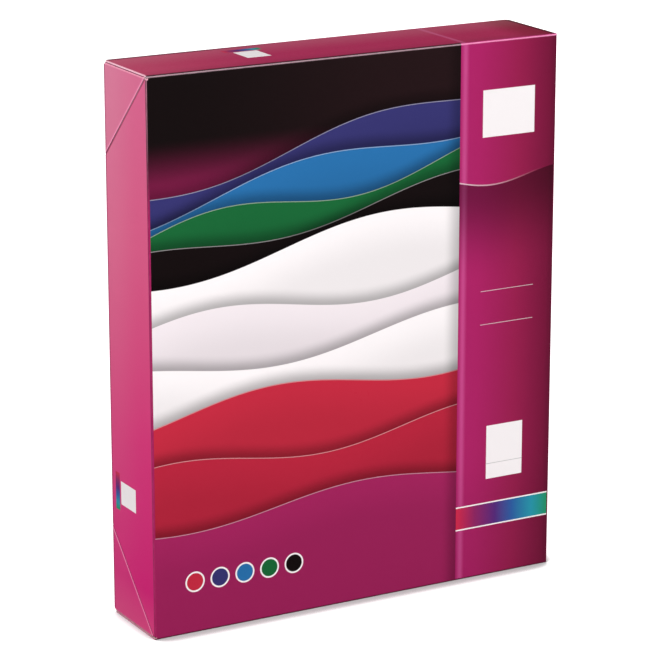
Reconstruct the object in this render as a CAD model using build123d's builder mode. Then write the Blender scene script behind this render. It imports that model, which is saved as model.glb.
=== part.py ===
from build123d import *
import os

os.makedirs("parts", exist_ok=True)

# A hinged-lid paperboard carton of letter-size two-pocket folders, standing upright with its printed lid to
# the front. Sizes are in millimetres. +X is to the right, +Y to the back and +Z up, and the origin is on the
# ground under the middle of the carton.

# Folder: one die-cut sheet of cover stock, folded shut with its spine to the left
folder_width = 241.3
folder_height = 298.45
pocket_height = 107.95
paper = 0.38
layer_gap = 0.12
fold_chamfer = 0.2
fore_corner_radius = 3.0
seam_width = 12.0
seam_drop = 4.0
notch_run = 18.0
notch_drop = 6.0
card_width = 88.9
card_height = 50.8
slit_length = 14.0
slit_width = 0.5
slit_inset = 5.0
slit_angle = 45

# Stack: the folders stand in groups of one colour, from the front to the back
colours = ("red", "dark_blue", "light_blue", "green", "black")
folders_per_colour = 5
folder_gap = 0.07

# Carton board, and the room that the stack and the lid have
board = 0.6
bend_inside = 0.3
fit = 0.3
side_play = 4.25
head_play = 0.95
foot_gap = 0.1
stack_play = 0.85
rim_gap = 0.5
wall_setback = 0.3

# Glued corners: flaps, and the diagonal creases that let the carton fold flat, at 45 degrees
flap_length = 38.0
flap_setback = 2.2
flap_relief = 1.5
flap_taper = 6.0
crease_setback = 1.1
crease_width = 0.9
crease_depth = 0.2
free_corner_radius = 3.0
wall_corner_radius = 1.4
overrun = 1.0

# Sizes that follow from the folders and the board
folder_thickness = 4 * paper + 3 * layer_gap
spine_radius = folder_thickness / 2
folder_pitch = folder_thickness + folder_gap
folder_count = len(colours) * folders_per_colour
stack_depth = folder_count * folder_pitch
bend = board + bend_inside
bead_radius = board / 2

carton_width = folder_width + side_play + 3 * board + fit
carton_depth = stack_depth + stack_play + 2 * board
carton_height = folder_height + head_play + 8 * board + 2 * fit

# The lid's outer faces
left = -carton_width / 2
right = carton_width / 2
front = -carton_depth / 2
back = carton_depth / 2
top = carton_height
mid_height = Plane.XY.offset(carton_height / 2)

# The tray's outer faces inside the lid
tray_left = left + board + fit
tray_top = top - 2 * board - fit
tray_bottom = 2 * board + fit
tray_front = front + board + rim_gap
tray_middle = Plane.YZ.offset((tray_left + right) / 2)

# The hinge: a round bead along the front edge of the spine wall, on which the lid's front panel turns
hinge_x = right - bead_radius
hinge_y = front + bead_radius


def bent_section(plane, reach):
    """Section of a board wall creased up from a panel: a quarter bend, then a straight run to its cut edge.

    The plane's origin is the outer corner, its x runs along the panel and its y along the wall.
    """
    with BuildSketch(plane) as section:
        with BuildLine():
            Polyline((bend, board), (bend, 0))
            RadiusArc((bend, 0), (0, bend), bend)
            Polyline((0, bend), (0, reach), (board, reach), (board, bend))
            RadiusArc((board, bend), (bend, board), -bend_inside)
        make_face()
    return section.sketch


def diagonal_crease(start, end):
    """Prism of a pressed crease along a wall's outer face, seen from -X, that runs out past both its ends."""
    run = Vector(end) - Vector(start)
    outset = run.normalized() * overrun
    with BuildPart() as groove:
        with BuildSketch(Plane(origin=Vector(start) - outset, x_dir=(1, 0, 0), z_dir=run)):
            with BuildLine():
                Polyline(
                    (crease_depth, 0),
                    (-crease_depth, crease_width),
                    (-crease_depth, -crease_width),
                    close=True,
                )
            make_face()
        extrude(amount=run.length + 2 * overrun)
    return groove.part


def glue_flap(corner, level, near, far):
    """Flap that bends in under a top wall from the wall at its left, and narrows to its free end."""
    flap_end = corner + bend + flap_length
    with BuildPart() as flap:
        flap_plane = Plane(origin=(corner, far, level), x_dir=(0, 0, -1), z_dir=(0, -1, 0))
        extrude(bent_section(flap_plane, bend + flap_length), amount=far - near)
        with BuildSketch(Plane.XY.offset(level - bend)):
            with BuildLine():
                Polyline(
                    (corner, near),
                    (corner + bend, near),
                    (flap_end, near + flap_taper),
                    (flap_end, far - flap_taper),
                    (corner + bend, far),
                    (corner, far),
                    close=True,
                )
            make_face()
        extrude(amount=bend, mode=Mode.INTERSECT)
    return flap


# Lid: the printed front panel, flat between its creases
with BuildPart() as lid_front_panel:
    with BuildSketch(Plane.XZ.offset(-front)):
        with BuildLine():
            Polyline(
                (left + bend, bend),
                (right - board - fit, bend),
                (right - board - fit, top - bend),
                (left + bend, top - bend),
                close=True,
            )
        make_face()
    extrude(amount=-board)

# Lid: the left wall, between the two glue flaps that are folded from its ends
wall_top = top - board - bend
wall_bottom = board + bend
with BuildPart() as lid_left_wall:
    wall_plane = Plane(origin=(left, front, wall_bottom), x_dir=(1, 0, 0), z_dir=(0, 0, 1))
    extrude(bent_section(wall_plane, carton_depth - wall_setback), amount=wall_top - wall_bottom)
    fillet(lid_left_wall.edges().filter_by(Axis.X).group_by(Axis.Y)[-1], wall_corner_radius)
    lid_crease_y = front + bend + crease_setback
    lid_crease_end = wall_top - (back - lid_crease_y)
    upper_crease = diagonal_crease((left, lid_crease_y, wall_top), (left, back, lid_crease_end))
    add(upper_crease, mode=Mode.SUBTRACT)
    add(upper_crease.mirror(mid_height), mode=Mode.SUBTRACT)

# Lid: the top wall lies over the left wall's flap and runs to the hinge, and its free corners are rounded
with BuildPart() as lid_top_wall:
    wall_plane = Plane(origin=(left, front, top), x_dir=(0, 0, -1), z_dir=(1, 0, 0))
    extrude(bent_section(wall_plane, carton_depth - wall_setback), amount=carton_width)
    fillet(lid_top_wall.edges().filter_by(Axis.Z).group_by(Axis.Y)[-1], free_corner_radius)

with BuildPart() as lid_bottom_wall:
    mirror(lid_top_wall.part, about=mid_height)

# Lid: the glue flaps under the top wall and over the bottom wall
lid_top_glue_flap = glue_flap(
    left, top - board, front + bend + flap_setback, back - wall_setback - flap_relief
)

with BuildPart() as lid_bottom_glue_flap:
    mirror(lid_top_glue_flap.part, about=mid_height)

# Tray: the back panel, flat between its creases
with BuildPart() as tray_back_panel:
    with BuildSketch(Plane.XZ.offset(-back)):
        with BuildLine():
            Polyline(
                (tray_left + bend, tray_bottom + bend),
                (right - bend, tray_bottom + bend),
                (right - bend, tray_top - bend),
                (tray_left + bend, tray_top - bend),
                close=True,
            )
        make_face()
    extrude(amount=board)

# Tray: the left wall, which the lid's left wall slides over
tray_wall_top = tray_top - board - bend
tray_wall_bottom = tray_bottom + board + bend
with BuildPart() as tray_left_wall:
    wall_plane = Plane(origin=(tray_left, back, tray_wall_top), x_dir=(1, 0, 0), z_dir=(0, 0, -1))
    extrude(bent_section(wall_plane, back - tray_front), amount=tray_wall_top - tray_wall_bottom)
    fillet(tray_left_wall.edges().filter_by(Axis.X).group_by(Axis.Y)[0], wall_corner_radius)
    tray_crease_y = back - bend - crease_setback
    tray_crease_end = tray_wall_top - (tray_crease_y - tray_front)
    upper_crease = diagonal_crease(
        (tray_left, tray_crease_y, tray_wall_top), (tray_left, tray_front, tray_crease_end)
    )
    add(upper_crease, mode=Mode.SUBTRACT)
    add(upper_crease.mirror(mid_height), mode=Mode.SUBTRACT)

# Tray: the spine wall ends in the round hinge bead, which runs the whole height of the tray
with BuildPart() as tray_spine_wall:
    spine_plane = Plane(origin=(right, back, tray_wall_bottom), x_dir=(-1, 0, 0), z_dir=(0, 0, 1))
    extrude(bent_section(spine_plane, back - hinge_y), amount=tray_wall_top - tray_wall_bottom)
    with BuildSketch(Plane.XY.offset(tray_bottom)):
        with Locations((hinge_x, hinge_y)):
            Circle(bead_radius)
    extrude(amount=tray_top - tray_bottom)
    upper_crease = diagonal_crease(
        (-right, tray_crease_y, tray_wall_top), (-right, tray_front, tray_crease_end)
    ).mirror(Plane.YZ)
    add(upper_crease, mode=Mode.SUBTRACT)
    add(upper_crease.mirror(mid_height), mode=Mode.SUBTRACT)

# Tray: the top and bottom walls
with BuildPart() as tray_top_wall:
    wall_plane = Plane(origin=(right, back, tray_top), x_dir=(0, 0, -1), z_dir=(-1, 0, 0))
    extrude(bent_section(wall_plane, back - tray_front), amount=right - tray_left)
    fillet(tray_top_wall.edges().filter_by(Axis.Z).group_by(Axis.Y)[0], free_corner_radius)

with BuildPart() as tray_bottom_wall:
    mirror(tray_top_wall.part, about=mid_height)

# Tray: glue flaps, folded from the ends of the left wall and the spine wall, inside the top and bottom walls
tray_left_top_flap = glue_flap(
    tray_left, tray_top - board, tray_front + flap_relief, back - bend - flap_setback
)

with BuildPart() as tray_left_bottom_flap:
    mirror(tray_left_top_flap.part, about=mid_height)

with BuildPart() as tray_spine_top_flap:
    mirror(tray_left_top_flap.part, about=tray_middle)

with BuildPart() as tray_spine_bottom_flap:
    mirror(tray_left_bottom_flap.part, about=tray_middle)

# Folders: where the stack stands in the tray
stack_front = back - board - stack_depth
folder_spine = tray_left + board + side_play / 2
spine_tangent = folder_spine + spine_radius
folder_fore = folder_spine + folder_width
folder_foot = tray_bottom + 2 * board + foot_gap
pocket_top = folder_foot + pocket_height
slit_x = card_width / 2 - slit_inset
slit_z = card_height / 2 - slit_inset


def pocket_folder(face):
    """One shut folder, with the outer face of its front cover at y = face."""
    middle = face + folder_thickness / 2
    pocket_face = face + paper + layer_gap
    pocket_reach = 2 * paper + layer_gap
    band_reach = paper + layer_gap / 2
    with BuildPart() as folder:
        # Front cover, bottom fold and pocket, as one section along the folder's width
        section_plane = Plane(origin=(spine_tangent, face, folder_foot), x_dir=(0, 1, 0), z_dir=(1, 0, 0))
        with BuildSketch(section_plane):
            with BuildLine():
                Polyline(
                    (0, fold_chamfer),
                    (0, folder_height),
                    (paper, folder_height),
                    (paper, paper),
                    (paper + layer_gap, paper),
                    (paper + layer_gap, pocket_height),
                    (pocket_reach, pocket_height),
                    (pocket_reach, fold_chamfer),
                    (pocket_reach - fold_chamfer, 0),
                    (fold_chamfer, 0),
                    close=True,
                )
            make_face()
        extrude(amount=folder_width - spine_radius)
        fore_corner = folder.edges().filter_by(Axis.Y).group_by(Axis.Z)[-1].sort_by(Axis.X)[-1]
        fillet(fore_corner, fore_corner_radius)
        # Glued strip that shuts the pocket at the fore edge
        with BuildSketch(Plane.XZ.offset(-face - paper)):
            with BuildLine():
                Polyline(
                    (folder_fore - seam_width, folder_foot + paper),
                    (folder_fore, folder_foot + paper),
                    (folder_fore, pocket_top - seam_drop),
                    (folder_fore - seam_width, pocket_top - seam_drop),
                    close=True,
                )
            make_face()
        extrude(amount=-layer_gap)
        # The back half, then the covers' round spine
        mirror(about=Plane.XZ.offset(-middle))
        with BuildSketch(Plane(origin=(spine_tangent, middle, folder_foot + paper))):
            with BuildLine():
                Line((0, spine_radius), (0, spine_radius - paper))
                ThreePointArc((0, spine_radius - paper), (paper - spine_radius, 0), (0, paper - spine_radius))
                Line((0, paper - spine_radius), (0, -spine_radius))
                ThreePointArc((0, -spine_radius), (-spine_radius, 0), (0, spine_radius))
            make_face()
        extrude(amount=folder_height - paper)
        # The pocket band's sharper turn inside the spine
        with BuildSketch(Plane(origin=(spine_tangent, middle, folder_foot + paper))):
            with BuildLine():
                Polyline(
                    (0, layer_gap / 2),
                    (0, band_reach),
                    (-fold_chamfer, band_reach),
                    (-paper, layer_gap / 2),
                    (-paper, -layer_gap / 2),
                    (-fold_chamfer, -band_reach),
                    (0, -band_reach),
                    (0, -layer_gap / 2),
                    close=True,
                )
            make_face()
        extrude(amount=pocket_height - notch_drop - paper)
        # The pockets dip in a notch at the spine
        with BuildSketch(Plane.XZ.offset(-pocket_face + layer_gap / 2)):
            with BuildLine():
                Polyline(
                    (spine_tangent, pocket_top - notch_drop),
                    (spine_tangent + notch_run, pocket_top),
                    (spine_tangent + notch_run, pocket_top + overrun),
                    (spine_tangent, pocket_top + overrun),
                    close=True,
                )
            make_face()
        extrude(amount=-(folder_thickness - 2 * paper - layer_gap), mode=Mode.SUBTRACT)
        # Four slits in the front pocket hold the corners of a card
        card_x = (folder_spine + folder_fore) / 2
        card_z = (folder_foot + pocket_top) / 2
        card_middle = (card_x, pocket_face - layer_gap / 2, card_z)
        with BuildSketch(Plane(origin=card_middle, x_dir=(1, 0, 0), z_dir=(0, 1, 0))):
            for side in (-1, 1):
                for level in (-1, 1):
                    with Locations((side * slit_x, level * slit_z)):
                        Rectangle(slit_length, slit_width, rotation=-slit_angle * side * level)
        extrude(amount=paper + layer_gap, mode=Mode.SUBTRACT)
    return folder


pieces = {
    "lid_front_panel": lid_front_panel,
    "lid_left_wall": lid_left_wall,
    "lid_top_wall": lid_top_wall,
    "lid_bottom_wall": lid_bottom_wall,
    "lid_top_glue_flap": lid_top_glue_flap,
    "lid_bottom_glue_flap": lid_bottom_glue_flap,
    "tray_back_panel": tray_back_panel,
    "tray_spine_wall": tray_spine_wall,
    "tray_left_wall": tray_left_wall,
    "tray_top_wall": tray_top_wall,
    "tray_bottom_wall": tray_bottom_wall,
    "tray_left_top_flap": tray_left_top_flap,
    "tray_left_bottom_flap": tray_left_bottom_flap,
    "tray_spine_top_flap": tray_spine_top_flap,
    "tray_spine_bottom_flap": tray_spine_bottom_flap,
}
for number in range(folder_count):
    colour = colours[number // folders_per_colour]
    name = f"folder_{colour}_{number % folders_per_colour + 1}"
    pieces[name] = pocket_folder(stack_front + number * folder_pitch)

for name, piece in pieces.items():
    piece.part.label = name
    export_step(piece.part, f"parts/{name}.step")
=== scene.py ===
from math import cos, pi, radians, sin, sqrt

import bmesh
import bpy
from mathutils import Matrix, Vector


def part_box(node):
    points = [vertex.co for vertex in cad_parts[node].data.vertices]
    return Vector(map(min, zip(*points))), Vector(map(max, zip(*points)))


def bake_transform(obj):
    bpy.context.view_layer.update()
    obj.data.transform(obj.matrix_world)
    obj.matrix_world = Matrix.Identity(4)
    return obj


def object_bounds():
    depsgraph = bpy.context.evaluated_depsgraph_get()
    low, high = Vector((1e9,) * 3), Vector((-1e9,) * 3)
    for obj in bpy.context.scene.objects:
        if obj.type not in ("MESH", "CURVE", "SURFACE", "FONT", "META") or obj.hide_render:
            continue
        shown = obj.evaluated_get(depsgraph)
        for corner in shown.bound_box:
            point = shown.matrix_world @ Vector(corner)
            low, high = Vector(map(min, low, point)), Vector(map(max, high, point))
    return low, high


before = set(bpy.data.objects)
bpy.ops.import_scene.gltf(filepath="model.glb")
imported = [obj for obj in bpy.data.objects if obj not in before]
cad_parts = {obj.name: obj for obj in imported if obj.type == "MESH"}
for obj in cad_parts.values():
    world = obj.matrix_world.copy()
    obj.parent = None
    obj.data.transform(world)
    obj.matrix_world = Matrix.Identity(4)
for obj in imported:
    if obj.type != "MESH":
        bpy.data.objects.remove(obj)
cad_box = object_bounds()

# Tray walls: the half of the carton that holds the folders, creased up from a blank of folding boxboard.
# The outside of the blank is printed magenta and varnished. The inside is bare grey-white fibre, and the cut
# edges show the pale core of the board.


class Ink:
    """One socket of a material's nodes. Sums and products of values add Math nodes."""

    def __init__(self, tree, socket=None):
        self.tree = tree
        self.socket = socket

    def node(self, kind, settings=None, sockets=None, output=0):
        """Adds a node: its settings are set first, then the values or links of its sockets."""
        made = self.tree.nodes.new(kind)
        for name, value in (settings or {}).items():
            if name == "stops":
                stops = made.color_ramp.elements
                stops.remove(stops[1])
                stops[0].position, stops[0].color = value[0]
                for place, colour in value[1:]:
                    stops.new(place).color = colour
            else:
                setattr(made, name, value)
        self.fill(made, sockets or {})
        return Ink(self.tree, made.outputs[output])

    def fill(self, made, sockets):
        """Links or sets the sockets of a node that is there already."""
        for name, value in sockets.items():
            if isinstance(value, Ink):
                self.tree.links.new(value.socket, made.inputs[name])
            else:
                made.inputs[name].default_value = value

    def math(self, operation, *values):
        return self.node("ShaderNodeMath", {"operation": operation}, dict(enumerate(values)))

    def __add__(self, other):
        return self.math("ADD", self, other)

    def __radd__(self, other):
        return self.math("ADD", other, self)

    def __sub__(self, other):
        return self.math("SUBTRACT", self, other)

    def __rsub__(self, other):
        return self.math("SUBTRACT", other, self)

    def __mul__(self, other):
        return self.math("MULTIPLY", self, other)

    def __rmul__(self, other):
        return self.math("MULTIPLY", other, self)

    def rise(self, start, end):
        """0 before start and 1 after end, with a smooth step between them."""
        ends = {"Value": self, "From Min": start, "From Max": end}
        return self.node("ShaderNodeMapRange", {"interpolation_type": "SMOOTHSTEP"}, ends)

    def within(self, low, high, blur):
        """1 from low to high and 0 outside, with edges as soft as blur."""
        return self.rise(low - blur, low + blur) * self.rise(high + blur, high - blur)

    def mix(self, low, high):
        """The colour low where this value is 0, and high where it is 1."""
        return self.node("ShaderNodeMix", {"data_type": "RGBA"}, {0: self, 6: low, 7: high}, output=2)

    def shade(self, colour):
        """A colour times this value."""
        settings = {"data_type": "RGBA", "blend_type": "MULTIPLY"}
        return self.node("ShaderNodeMix", settings, {0: 1.0, 6: colour, 7: self}, output=2)

    def ramp(self, *stops):
        """A run of colours along this value, from 0 to 1."""
        return self.node("ShaderNodeValToRGB", {"stops": stops}, {0: self})


class Surface:
    """A material under way: its nodes, and where a point of the piece lies, in millimetres."""

    def __init__(self, name):
        self.material = bpy.data.materials.new(name)
        self.material.use_nodes = True
        self.ink = Ink(self.material.node_tree)
        self.place = self.ink.node("ShaderNodeTexCoord", output="Object")
        self.normal = self.ink.node("ShaderNodeTexCoord", output="Normal")
        to_mm = {0: self.place, "Scale": 1000.0}
        in_mm = self.ink.node("ShaderNodeVectorMath", {"operation": "SCALE"}, to_mm)
        self.x, self.y, self.z = (self.axis(in_mm, letter) for letter in "XYZ")

    def axis(self, vector, letter):
        return self.ink.node("ShaderNodeSeparateXYZ", sockets={0: vector}, output=letter)

    def lean(self, direction):
        """1 where the surface faces along a signed axis, such as -Y, and 0 where it lies edge on to it."""
        sign, letter = direction
        part = self.axis(self.normal, letter)
        return part if sign == "+" else part * -1.0

    def facing(self, *directions):
        """1 where the surface leans towards any of these signed axes by more than a few degrees."""
        most = None
        for direction in directions:
            part = self.lean(direction)
            most = self.ink.math("MAXIMUM", most, part) if most else part
        return most.rise(0.06, 0.14)

    def noise(self, scale, detail=3.0):
        """Unevenness from 0 to 1, with about scale swells to the metre."""
        sockets = {"Vector": self.place, "Scale": scale, "Detail": detail}
        return self.ink.node("ShaderNodeTexNoise", sockets=sockets)

    def cracks(self, wear, spread):
        """How much print has cracked off a crease: wear on the whole, and patches that differ by spread."""
        return wear + (self.noise(260.0, 4.0) - 0.5) * spread

    def bump(self, height, depth, below=None):
        """A normal for a height from 0 to 1 that stands depth metres proud, over the normal below."""
        sockets = {"Height": height, "Distance": depth}
        if below:
            sockets["Normal"] = below
        return self.ink.node("ShaderNodeBump", sockets=sockets)

    def finish(self, **sockets):
        """Sets the shader's sockets, named with low lines for spaces, and gives the material."""
        shader = self.material.node_tree.nodes["Principled BSDF"]
        self.ink.fill(shader, {name.replace("_", " "): value for name, value in sockets.items()})
        return self.material


def srgb(red, green, blue):
    """A print colour, from 0 to 255 a channel, in linear light."""
    parts = [channel / 255 for channel in (red, green, blue)]
    return (*(p / 12.92 if p <= 0.04045 else ((p + 0.055) / 1.055) ** 2.4 for p in parts), 1.0)


white_core = (srgb(226, 218, 208), srgb(246, 241, 234))


def board(name, printed_sides, bare_sides, artwork, core=white_core):
    """Folding boxboard: varnished print outside, bare fibre inside, and its core at the cut edges."""
    bare_rough = 0.84
    varnished_rough = 0.32
    fibre_depth = 0.00002
    ripple_depth = 0.0008
    surface = Surface(name)
    printed = surface.facing(*printed_sides)
    bare = surface.facing(*bare_sides)
    fibre = surface.noise(700.0, 4.0)
    fleck = surface.noise(2400.0, 2.0).rise(0.66, 0.72)
    ripple = surface.noise(11.0, 1.0)
    liner = fibre.mix(srgb(196, 187, 176), srgb(224, 217, 207))
    liner = (fleck * 0.4).mix(liner, srgb(132, 120, 108))
    colour = printed.mix(bare.mix(fibre.mix(*core), liner), artwork(surface))
    rough = bare_rough - printed * (bare_rough - varnished_rough)
    rough = rough + (fibre - 0.5) * 0.12 + (ripple - 0.5) * 0.1
    normal = surface.bump(fibre, fibre_depth, surface.bump(ripple, ripple_depth))
    return surface.finish(Base_Color=colour, Roughness=rough, Normal=normal, Specular_IOR_Level=0.08)


def paint(node, material):
    """Gives a piece of the carton its material."""
    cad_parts[node].material_slots[0].material = material


magenta = srgb(156, 32, 88)
deep_magenta = srgb(140, 27, 77)
cracked_pink = srgb(226, 108, 158)
bend_blur = 0.12


def tray_print(surface):
    """Plain magenta, with a little of the pale board where the print has cracked over the back's creases."""
    colour = surface.noise(6.0, 2.0).mix(deep_magenta, magenta)
    crack = surface.lean("+Y").within(0.3, 0.8, bend_blur) * surface.cracks(wear=0.35, spread=0.5)
    return crack.mix(colour, cracked_pink)


paint("tray_back_panel", board("tray_back_board", ("+Y",), ("-Y",), tray_print))
paint("tray_spine_wall", board("tray_spine_board", ("+X", "+Y", "-Y"), ("-X",), tray_print))
paint("tray_left_wall", board("tray_left_board", ("-X", "+Y"), ("+X",), tray_print))
paint("tray_top_wall", board("tray_top_board", ("+Z", "+Y"), ("-Z",), tray_print))
paint("tray_bottom_wall", board("tray_bottom_board", ("-Z", "+Y"), ("+Z",), tray_print))

# Tray glue flaps: tabs folded in from the ends of the left wall and the spine wall, and glued inside the top
# and bottom walls. They are cut from the same blank, so their outer side is printed too.
paint("tray_left_top_flap", board("tray_left_top_flap_board", ("-X", "+Z"), ("-Z",), tray_print))
paint("tray_left_bottom_flap", board("tray_left_bottom_flap_board", ("-X", "-Z"), ("+Z",), tray_print))
paint("tray_spine_top_flap", board("tray_spine_top_flap_board", ("+X", "+Z"), ("-Z",), tray_print))
paint("tray_spine_bottom_flap", board("tray_spine_bottom_flap_board", ("+X", "-Z"), ("+Z",), tray_print))

# Folders: twenty-five covers with two pockets, each one sheet of dyed cover stock, die-cut, folded and glued.
# The stock is coloured right through and embossed with a fine pebbled grain.
folders_of_each = 5
red = srgb(191, 40, 62)
dark_blue = srgb(52, 50, 108)
light_blue = srgb(38, 108, 166)
green = srgb(22, 100, 52)
soft_black = srgb(18, 9, 10)


def cover_stock(name, dye):
    """Dyed paper, a little cloudy in tone, with the grain pressed into both sides."""
    grain_depth = 0.00005
    surface = Surface(name)
    cells = {"Vector": surface.place, "Scale": 1100.0, "Smoothness": 0.6}
    pebble = surface.ink.node("ShaderNodeTexVoronoi", {"feature": "SMOOTH_F1"}, cells)
    fibre = surface.noise(2200.0, 4.0)
    cloud = surface.noise(30.0, 3.0)
    tone = 0.92 + (fibre - 0.5) * 0.2 + (cloud - 0.5) * 0.1 + pebble * 0.12
    normal = surface.bump(pebble + fibre * 0.3, grain_depth)
    rough = 0.62 + (fibre - 0.5) * 0.15
    return surface.finish(Base_Color=tone.shade(dye), Roughness=rough, Normal=normal, Specular_IOR_Level=0.3)


dyes = {"red": red, "dark_blue": dark_blue, "light_blue": light_blue, "green": green, "black": soft_black}
for hue, dye in dyes.items():
    stock = cover_stock(f"cover_stock_{hue}", dye)
    for number in range(1, folders_of_each + 1):
        paint(f"folder_{hue}_{number}", stock)

# Lid front panel: the printed face of the carton, a flat panel of boxboard that the lid's walls are creased
# back from. Its picture is a stack of cut-paper waves in the colours of the folders. A plain band at the
# right carries blank white labels and a bar that runs through the colours.
low, high = (corner * 1000 for corner in cad_box)
width = high.x - low.x
height = high.z - low.z
band_edge = 186.7
ink_blur = 0.12
edge_blur = 0.15
white = srgb(246, 240, 241)
inked_core = (srgb(255, 186, 206), srgb(255, 216, 228))
rainbow = (
    (0.0, srgb(205, 40, 72)),
    (0.2, srgb(140, 36, 96)),
    (0.42, srgb(84, 40, 120)),
    (0.6, srgb(44, 90, 158)),
    (0.82, srgb(38, 146, 166)),
    (1.0, srgb(34, 142, 84)),
)


def turned_magenta(down):
    """How far the front's ground has turned from black to magenta, going down from the top."""
    return down.rise(34.0, 80.0)


def front_ground(down):
    return turned_magenta(down).mix(soft_black, magenta)


def on_band(across):
    return across.rise(band_edge - edge_blur, band_edge + edge_blur)


def top_crease_tone(across):
    """The board where it shows in the crease over the front: greyish on the black, and pink on the band."""
    return on_band(across).mix(srgb(190, 158, 168), srgb(255, 160, 206))


def patch(along, over, start, end, near, far):
    """1 on a box of the print, from start to end along it and from near to far over it."""
    return along.within(start, end, ink_blur) * over.within(near, far, ink_blur)


def wave(across, length, start):
    """A wave across the print, from -1 to 1. start is its angle at the left, in radians."""
    return across.math("SINE", across * (2 * pi / length) + start)


def sheet_of_paper(colour, below, tone):
    """Lays a cut sheet over the print. below is the distance under its top edge."""
    shadow = below.rise(-9.0, 0.5)
    colour = (1 - shadow * 0.5).shade(colour)
    light = 0.92 + below.rise(26.0, 0.0) * 0.14
    colour = below.rise(-edge_blur, edge_blur).mix(colour, light.shade(tone))
    cut_edge = below.within(0.1, 0.5, edge_blur)
    return (cut_edge * 0.3).mix(colour, white)


def paper_waves(across, down):
    # The sheets from the back one to the front one: how far down the edge is at the left, its climb to the
    # right, the swell, length and starting angle of its wave, and its colour
    sheets = (
        (62.0, 0.18, 6.0, 190.0, 0.4, dark_blue),
        (74.0, 0.16, 7.0, 210.0, 2.0, light_blue),
        (86.0, 0.14, 7.0, 180.0, 3.4, green),
        (97.0, 0.12, 6.0, 200.0, 5.2, soft_black),
        (106.0, 0.08, 8.0, 230.0, 1.0, white),
        (136.0, 0.06, 7.0, 200.0, 3.6, srgb(236, 226, 230)),
        (160.0, 0.05, 7.0, 220.0, 5.6, white),
        (184.0, 0.05, 7.0, 210.0, 2.6, red),
        (214.0, 0.04, 6.0, 190.0, 4.4, srgb(178, 34, 58)),
        (244.0, 0.03, 5.0, 200.0, 0.8, magenta),
    )
    # The ground is painted a little lighter to the right, a painted sheen on the black
    picture = (across.rise(10.0, 180.0) * 0.07).mix(front_ground(down), srgb(110, 60, 70))
    for edge, climb, swell, length, start, tone in sheets:
        cut = edge - across * climb + wave(across, length, start) * swell
        picture = sheet_of_paper(picture, down - cut, tone)
    return picture


def row_of_dots(picture, across, down):
    """Dots in the folders' colours, each with a white rim."""
    first = 24.0
    pitch = 15.0
    level = 276.0
    rim_radius = 5.9
    dot_radius = 5.0
    soft = 0.3
    for number, dye in enumerate(dyes.values()):
        aside = across - (first + number * pitch)
        below = down - level
        span = across.math("POWER", aside * aside + below * below, 0.5)
        picture = span.rise(rim_radius, rim_radius - soft).mix(picture, white)
        picture = span.rise(dot_radius, dot_radius - soft).mix(picture, dye)
    return picture


def band(across, down):
    """The band: light near its left edge and dark to the right, with a wave of shade across it."""
    over = (across - band_edge) * (1 / (width - band_edge))
    colour = over.ramp(
        (0.0, srgb(172, 34, 102)),
        (0.2, srgb(170, 32, 98)),
        (0.6, srgb(150, 28, 76)),
        (0.93, srgb(116, 19, 56)),
        (1.0, srgb(94, 16, 46)),
    )
    gleam = across.rise(band_edge, band_edge + 3.0) * across.rise(band_edge + 5.8, band_edge + 2.8)
    colour = (gleam * 0.3).mix(colour, srgb(243, 117, 189))
    colour = (1 - down.rise(225.0, 275.0) * 0.12).shade(colour)
    shade_edge = 76.0
    shade_swell = 4.0
    shade_depth = 55.0
    under = down - (shade_edge + wave(across, length=96.0, start=0.6) * shade_swell)
    shaded = under.rise(-edge_blur, edge_blur) * under.rise(shade_depth, 0.0)
    colour = (1 - shaded * 0.62).shade(colour)
    lit_line = under.within(-0.7, 0.0, 0.2) * over.rise(0.9, 0.0)
    colour = (lit_line * 0.5).mix(colour, white)
    # Two thin rules, two labels, the lower one with a line on it, and the bar with its white border
    rule_width = 0.35
    for top in (139.0, 158.0):
        rule = patch(across, down, start=201.0, end=235.0, near=top, far=top + rule_width)
        colour = (rule * 0.55).mix(colour, white)
    colour = patch(across, down, start=201.0, end=234.0, near=27.0, far=53.0).mix(colour, white)
    colour = patch(across, down, start=206.0, end=229.5, near=217.0, far=248.0).mix(colour, white)
    label_line = patch(across, down, start=206.0, end=229.5, near=239.0, far=239.3)
    colour = (label_line * 0.5).mix(colour, soft_black)
    bar_top = 262.5
    bar_bottom = 275.0
    border = 0.75
    colour = down.within(bar_top - border, bar_bottom + border, ink_blur).mix(colour, white)
    return down.within(bar_top, bar_bottom, ink_blur).mix(colour, over.ramp(*rainbow))


def front_print(surface):
    across = surface.x - low.x
    down = high.z - surface.z
    picture = row_of_dots(paper_waves(across, down), across, down)
    band_shadow = across.rise(band_edge - 10.0, band_edge)
    picture = (1 - band_shadow * 0.4).shade(picture)
    picture = on_band(across).mix(picture, band(across, down))
    # The cracked edge under the top crease
    crack = down.rise(1.3, 1.0) * surface.cracks(wear=0.25, spread=0.5)
    return crack.mix(picture, top_crease_tone(across))


paint("lid_front_panel", board("front_board", ("-Y",), ("+Y", "+X"), front_print, inked_core))

# Lid left wall: a wall creased back from the front panel, with a glue flap folded in from each of its ends.
# Two diagonal creases let it fold flat, and the print has cracked along the creases, down to the pale board.
wall_low, wall_high = (corner * 1000 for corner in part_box("lid_left_wall"))
crease_start = 2.0
rubbed_pink = srgb(255, 190, 208)


def small_label(colour, along, over, start, end, near, far):
    """A blank white label from start to end and near to far, with a bar of the folders' colours by it."""
    spread = 4.0
    bar_gap = 1.5
    bar_width = 5.0
    bar_near = far + bar_gap
    run = (along - (start - spread)) * (1 / (end - start + 2 * spread))
    bar = patch(along, over, start - spread, end + spread, bar_near, bar_near + bar_width)
    colour = bar.mix(colour, run.ramp(*rainbow))
    return patch(along, over, start, end, near, far).mix(colour, white)


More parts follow.
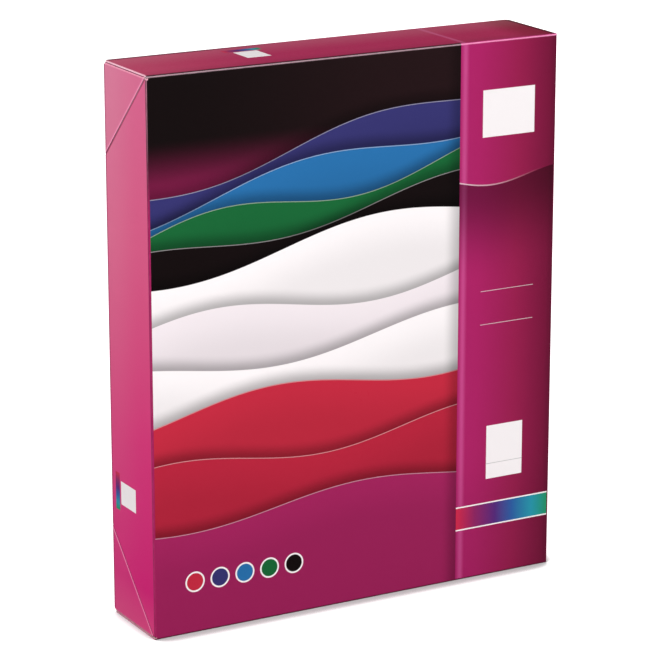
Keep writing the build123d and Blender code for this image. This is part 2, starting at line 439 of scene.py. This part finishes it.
def worn_crease(surface, colour, front_tone, pale, wear, cracked):
    """The bend to the front panel: the front's print runs over it, and the board shows where it cracked.

    cracked is where the crack starts and ends, from 0 at the wall to 1 at the front panel.
    """
    lean = surface.lean("-Y")
    colour = lean.rise(0.05, 0.3).mix(colour, front_tone)
    crack = lean.within(*cracked, bend_blur) * surface.cracks(wear, spread=0.4)
    return crack.mix(colour, pale)


def diagonal_creases(surface, colour, past, upper):
    """A cracked line with painted shade in its groove and painted sheen beyond. past is how far a point lies
    beyond the crease.
    """
    # Painted sheen: the wall beyond the crease is a little lighter, more so on the upper crease
    colour = (past.rise(-0.4, 0.4) * (0.03 + upper * 0.09)).mix(colour, srgb(226, 160, 180))
    crack = past.rise(-0.1, 0.1) * past.rise(2.0, 0.6) * (0.8 + surface.noise(300.0, 3.0) * 0.3)
    colour = crack.mix(colour, srgb(254, 152, 192))
    # Painted shade in the groove, darker on the upper crease
    groove_shade = past.within(-0.8, -0.05, edge_blur) * (0.15 + upper * 0.65)
    return groove_shade.mix(colour, srgb(144, 0, 64))


def left_print(surface):
    down = high.z - surface.z
    fall = down * (1 / height)
    from_front = surface.y - low.y
    from_middle = surface.ink.math("ABSOLUTE", surface.z - (wall_low.z + wall_high.z) / 2)
    to_end = (wall_high.z - wall_low.z) / 2 - from_middle
    upper = down.rise(160.0, 140.0)
    # Lighter towards the top: partly the print's own run of colour and partly a painted reflection. The last
    # stop, lighter at the very foot, is painted bounce light from the floor.
    colour = fall.ramp(
        (0.0, srgb(225, 104, 147)),
        (0.3, srgb(224, 92, 138)),
        (0.65, srgb(219, 50, 122)),
        (0.92, srgb(210, 18, 116)),
        (1.0, srgb(218, 66, 128)),
    )
    # Painted reflection: lighter towards the back, and more so high on the wall
    painted_reflection = from_front.rise(8.0, 50.0) * (0.12 - fall * 0.11)
    colour = painted_reflection.mix(colour, srgb(232, 215, 222))
    # Painted shade: a dark line along the back edge of the wall
    back_edge_shade = from_front.rise(48.6, 49.8) * 0.5
    colour = back_edge_shade.mix(colour, srgb(110, 24, 64))
    colour = small_label(colour, down, from_front, start=227.0, end=240.0, near=21.2, far=39.2)
    # The creases run at 45 degrees from near the front corners, and the upper one has more painted shade and
    # sheen
    past_crease = (from_front - crease_start - to_end) * sqrt(0.5)
    colour = diagonal_creases(surface, colour, past_crease, upper)
    # The folds to the flaps and to the front panel
    end_fold = to_end.rise(0.6, 0.3) * (0.25 + upper * 0.35)
    colour = end_fold.mix(colour, srgb(254, 176, 200))
    colour = from_front.rise(1.7, 1.1).mix(colour, front_ground(down))
    pale = turned_magenta(down).mix(srgb(196, 132, 154), cracked_pink)
    wear = 0.65 - down.rise(10.0, 70.0) * 0.6
    colour = worn_crease(surface, colour, front_ground(down), pale, wear, cracked=(0.1, 0.75))
    # The rubbed corner by the end of the top wall
    rubbed = from_front.rise(3.2, 1.6) * to_end.rise(1.0, 0.3) * upper
    return (rubbed * 0.7).mix(colour, rubbed_pink)


paint("lid_left_wall", board("left_board", ("-X", "-Y"), ("+X",), left_print, inked_core))

# Lid top and bottom walls: creased back from the front panel and glued over the flaps of the left wall, so
# that their raw cut ends show at the left. The bottom wall's cut edges are painted dark, a painted shade
# where it stands on the floor.
painted_shade_core = (srgb(196, 90, 132), srgb(214, 124, 160))


def top_print(surface):
    across = surface.x - low.x
    from_front = surface.y - low.y
    colour = (across * (1 / width)).ramp(
        (0.0, srgb(192, 68, 104)),
        (0.15, srgb(184, 54, 94)),
        (0.3, srgb(176, 40, 88)),
        (0.9, srgb(174, 36, 84)),
        (0.95, srgb(148, 24, 60)),
        (1.0, srgb(136, 20, 52)),
    )
    # Painted reflection: lighter towards the back. Painted shade: darker towards the front
    painted_reflection = from_front.rise(20.0, 50.0) * 0.09
    colour = painted_reflection.mix(colour, srgb(232, 200, 204))
    front_shade = from_front.rise(14.0, 1.0) * 0.2
    colour = front_shade.mix(colour, srgb(110, 8, 48))
    # Painted shade: a dark line along the back edge, towards the left
    back_edge_shade = from_front.rise(46.8, 48.6) * across.rise(120.0, 40.0) * 0.7
    colour = back_edge_shade.mix(colour, srgb(70, 20, 38))
    colour = small_label(colour, across, from_front, start=68.0, end=82.0, near=18.8, far=35.8)
    band_line = across.within(188.0, 190.0, 1.2) * 0.35
    colour = band_line.mix(colour, srgb(226, 130, 178))
    cut_end = across.rise(1.0, 0.6)
    colour = cut_end.mix(colour, rubbed_pink)
    right_shade = across.rise(width - 4.0, width - 1.5) * 0.6
    colour = right_shade.mix(colour, srgb(70, 10, 26))
    # The front's print wraps round the crease and on to the edge of the wall
    banded = on_band(across)
    wrapped = from_front.rise(3.4, 1.0) * (0.55 - banded * 0.5)
    colour = wrapped.mix(colour, srgb(70, 12, 32))
    front_tone = banded.mix(soft_black, srgb(176, 50, 112))
    pale = top_crease_tone(across)
    return worn_crease(surface, colour, front_tone, pale, wear=0.75, cracked=(0.75, 1.1))


def bottom_print(surface):
    """The wall that the carton stands on, with painted shade as a dark line where the front panel turns
    under.
    """
    turned_under_shade = surface.lean("-Y").rise(0.05, 0.3)
    return turned_under_shade.mix(tray_print(surface), srgb(98, 16, 50))


paint("lid_top_wall", board("top_board", ("+Z", "-Y"), ("-Z",), top_print, inked_core))
paint("lid_bottom_wall", board("bottom_board", ("-Z", "-Y"), ("+Z",), bottom_print, painted_shade_core))

# Lid glue flaps: tabs folded in from the ends of the left wall, glued under the top wall and over the bottom
# wall. Only their bend shows, as a pale cracked line, and a dark gap of painted shade by the cut end of the
# wall.


def flap_print(from_end, bend_tone, gap_shade):
    """from_end is the distance from the carton's top or bottom. gap_shade is the painted shade in the gap."""
    gap_depth = 1.0
    gap_blur = 0.2
    # The gap under the cut end of the wall is painted dark, as shade
    return from_end.rise(gap_depth + gap_blur, gap_depth).mix(bend_tone, gap_shade)


def top_flap_print(surface):
    return flap_print(high.z - surface.z, srgb(250, 160, 188), srgb(110, 16, 50))


def bottom_flap_print(surface):
    return flap_print(surface.z - low.z, srgb(214, 96, 144), srgb(150, 50, 90))


top_flap_board = board("top_flap_board", ("-X", "+Z"), ("-Z",), top_flap_print, inked_core)
paint("lid_top_glue_flap", top_flap_board)
bottom_flap_board = board("bottom_flap_board", ("-X", "-Z"), ("+Z",), bottom_flap_print, painted_shade_core)
paint("lid_bottom_glue_flap", bottom_flap_board)

# Hinge crease: the front panel and the spine wall are one sheet, scored where the lid turns. This is the thin
# outer ply of the board at that score, from along the spine wall round its bead and on to the front panel.
spine_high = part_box("tray_spine_wall")[1]
panel_low, panel_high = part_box("lid_front_panel")
bead_radius = 0.0003
ply_sink = 0.00002
ply_thickness = 0.0001
ply_reach = 0.0012
turn_steps = 6
flat_steps = 12
hinge_x = spine_high.x - bead_radius
hinge_y = panel_low.y + bead_radius


def ply_outline(radius):
    """One side of the ply's section: along the spine wall, round its bead and on to the front panel."""
    path = [(hinge_x + radius, hinge_y + ply_reach)]
    for step in range(turn_steps + 1):
        angle = -pi / 2 * step / turn_steps
        path.append((hinge_x + radius * cos(angle), hinge_y + radius * sin(angle)))
    run = hinge_x - panel_high.x + ply_reach
    for step in range(1, flat_steps + 1):
        path.append((hinge_x - run * step / flat_steps, hinge_y - radius))
    return path


def hinge_print(surface):
    return surface.noise(200.0).mix(srgb(80, 13, 38), srgb(98, 20, 50))


hinge_mesh = bpy.data.meshes.new("hinge_crease")
shape = bmesh.new()
outer_radius = bead_radius - ply_sink
section = ply_outline(outer_radius) + ply_outline(outer_radius - ply_thickness)[::-1]
ends = [[shape.verts.new((x, y, z)) for x, y in section] for z in (panel_low.z, panel_high.z)]
for side in range(len(section)):
    shape.faces.new((ends[0][side - 1], ends[0][side], ends[1][side], ends[1][side - 1]))
caps = [shape.faces.new(ends[0][::-1]), shape.faces.new(ends[1])]
bmesh.ops.triangulate(shape, faces=caps)
bmesh.ops.recalc_face_normals(shape, faces=shape.faces)
shape.to_mesh(hinge_mesh)
shape.free()
hinge_crease = bpy.data.objects.new("hinge_crease", hinge_mesh)
bpy.context.scene.collection.objects.link(hinge_crease)
hinge_crease.data.materials.append(board("hinge_board", ("-Y", "+X"), ("-X",), hinge_print))
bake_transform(hinge_crease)

# Stage: a sweep of white paper under three softboxes, a strong one high at the left and weaker ones at the
# right and behind. The paper glows white to the camera, and less where the carton stands on it, so that its
# contact shadow shows.
open_glow = 0.9
contact_glow = 0.05
mirrored_glow = 0.1
paper_grey = (0.62, 0.62, 0.62, 1.0)
mirrored_grey = (0.2, 0.2, 0.2, 1.0)
shadow_reach = 0.0155
sweep_half_width = 6.0
mirrored_sky = 0.07
room_light = 0.45
aim_height = 0.15


def background_rays(ink):
    """The camera's rays, and those that mirror the background or pass it on."""
    kinds = ("Camera", "Glossy", "Transmission")
    camera, glossy, through = (ink.node("ShaderNodeLightPath", output=f"Is {kind} Ray") for kind in kinds)
    return camera, ink.math("MAXIMUM", glossy, through)


sweep_paper = bpy.data.materials.new("sweep_paper")
sweep_paper.use_nodes = True
ink = Ink(sweep_paper.node_tree)
camera_ray, mirrored_ray = background_rays(ink)
# The paper looks for its light to the left and back, so the shadow lies to the right and front of the carton
lit_from = ink.node("ShaderNodeCombineXYZ", sockets={"X": -0.14, "Y": 0.25, "Z": 0.96})
reach = {"Distance": shadow_reach, "Normal": lit_from}
shelter = ink.node("ShaderNodeAmbientOcclusion", {"samples": 16}, reach, output="AO")
seen_glow = contact_glow + shelter.rise(0.5, 0.85) * (open_glow - contact_glow)
glow = camera_ray * seen_glow + mirrored_ray * mirrored_glow
grey = mirrored_ray.mix(paper_grey, mirrored_grey)
paper = {"Base Color": grey, "Roughness": 1.0, "Specular IOR Level": 0.0, "Emission Color": glow}
ink.fill(sweep_paper.node_tree.nodes["Principled BSDF"], paper | {"Emission Strength": 1.0})

sweep_mesh = bpy.data.meshes.new("sweep")
shape = bmesh.new()
bmesh.ops.create_grid(shape, x_segments=1, y_segments=1, size=sweep_half_width)
shape.to_mesh(sweep_mesh)
shape.free()
sweep = bpy.data.objects.new("sweep", sweep_mesh)
bpy.context.scene.collection.objects.link(sweep)
sweep.data.materials.append(sweep_paper)

studio = bpy.data.worlds.new("studio")
bpy.context.scene.world = studio
studio.use_nodes = True
ink = Ink(studio.node_tree)
camera_ray, mirrored_ray = background_rays(ink)
direction = ink.node("ShaderNodeTexCoord", output="Generated")
above = ink.node("ShaderNodeSeparateXYZ", sockets={0: direction}, output="Z").rise(0.0, 0.06)
unseen = 1 - camera_ray - mirrored_ray
strength = camera_ray + mirrored_ray * (1 - above * (1 - mirrored_sky)) + unseen * room_light
ink.fill(studio.node_tree.nodes["Background"], {"Color": strength})


def softbox(name, place, size, power):
    """A square lamp that is aimed at the middle of the carton."""
    light = bpy.data.lights.new(name, "AREA")
    light.size = size
    light.energy = power
    lamp = bpy.data.objects.new(name, light)
    lamp.location = place
    aim = Vector((0.0, 0.0, aim_height)) - lamp.location
    lamp.rotation_euler = aim.to_track_quat("-Z", "Y").to_euler()
    bpy.context.scene.collection.objects.link(lamp)
    return lamp


softbox("key", place=(-1.5, -1.2, 1.5), size=1.2, power=33.0)
softbox("fill", place=(1.0, -2.0, 1.2), size=1.4, power=17.0)
softbox("back", place=(1.9, 1.2, 0.7), size=1.4, power=26.0).visible_glossy = False

# Camera: a long lens at the front left, a little above the carton and some 1.7 m from it, where the
# photograph was taken from. So far off, the carton's upright edges draw in only a little towards the floor.
turn_left = 29.223
tilt_down = 15.745
camera = bpy.data.objects.new("camera", bpy.data.cameras.new("camera"))
camera.data.sensor_width = 36.0
camera.data.lens = 168.92
camera.location = (-0.79508, -1.41554, 0.60602)
camera.rotation_euler = (radians(90 - tilt_down), 0, radians(-turn_left))
bpy.context.scene.collection.objects.link(camera)
bpy.context.scene.camera = camera

bpy.context.scene.view_settings.view_transform = "Standard"
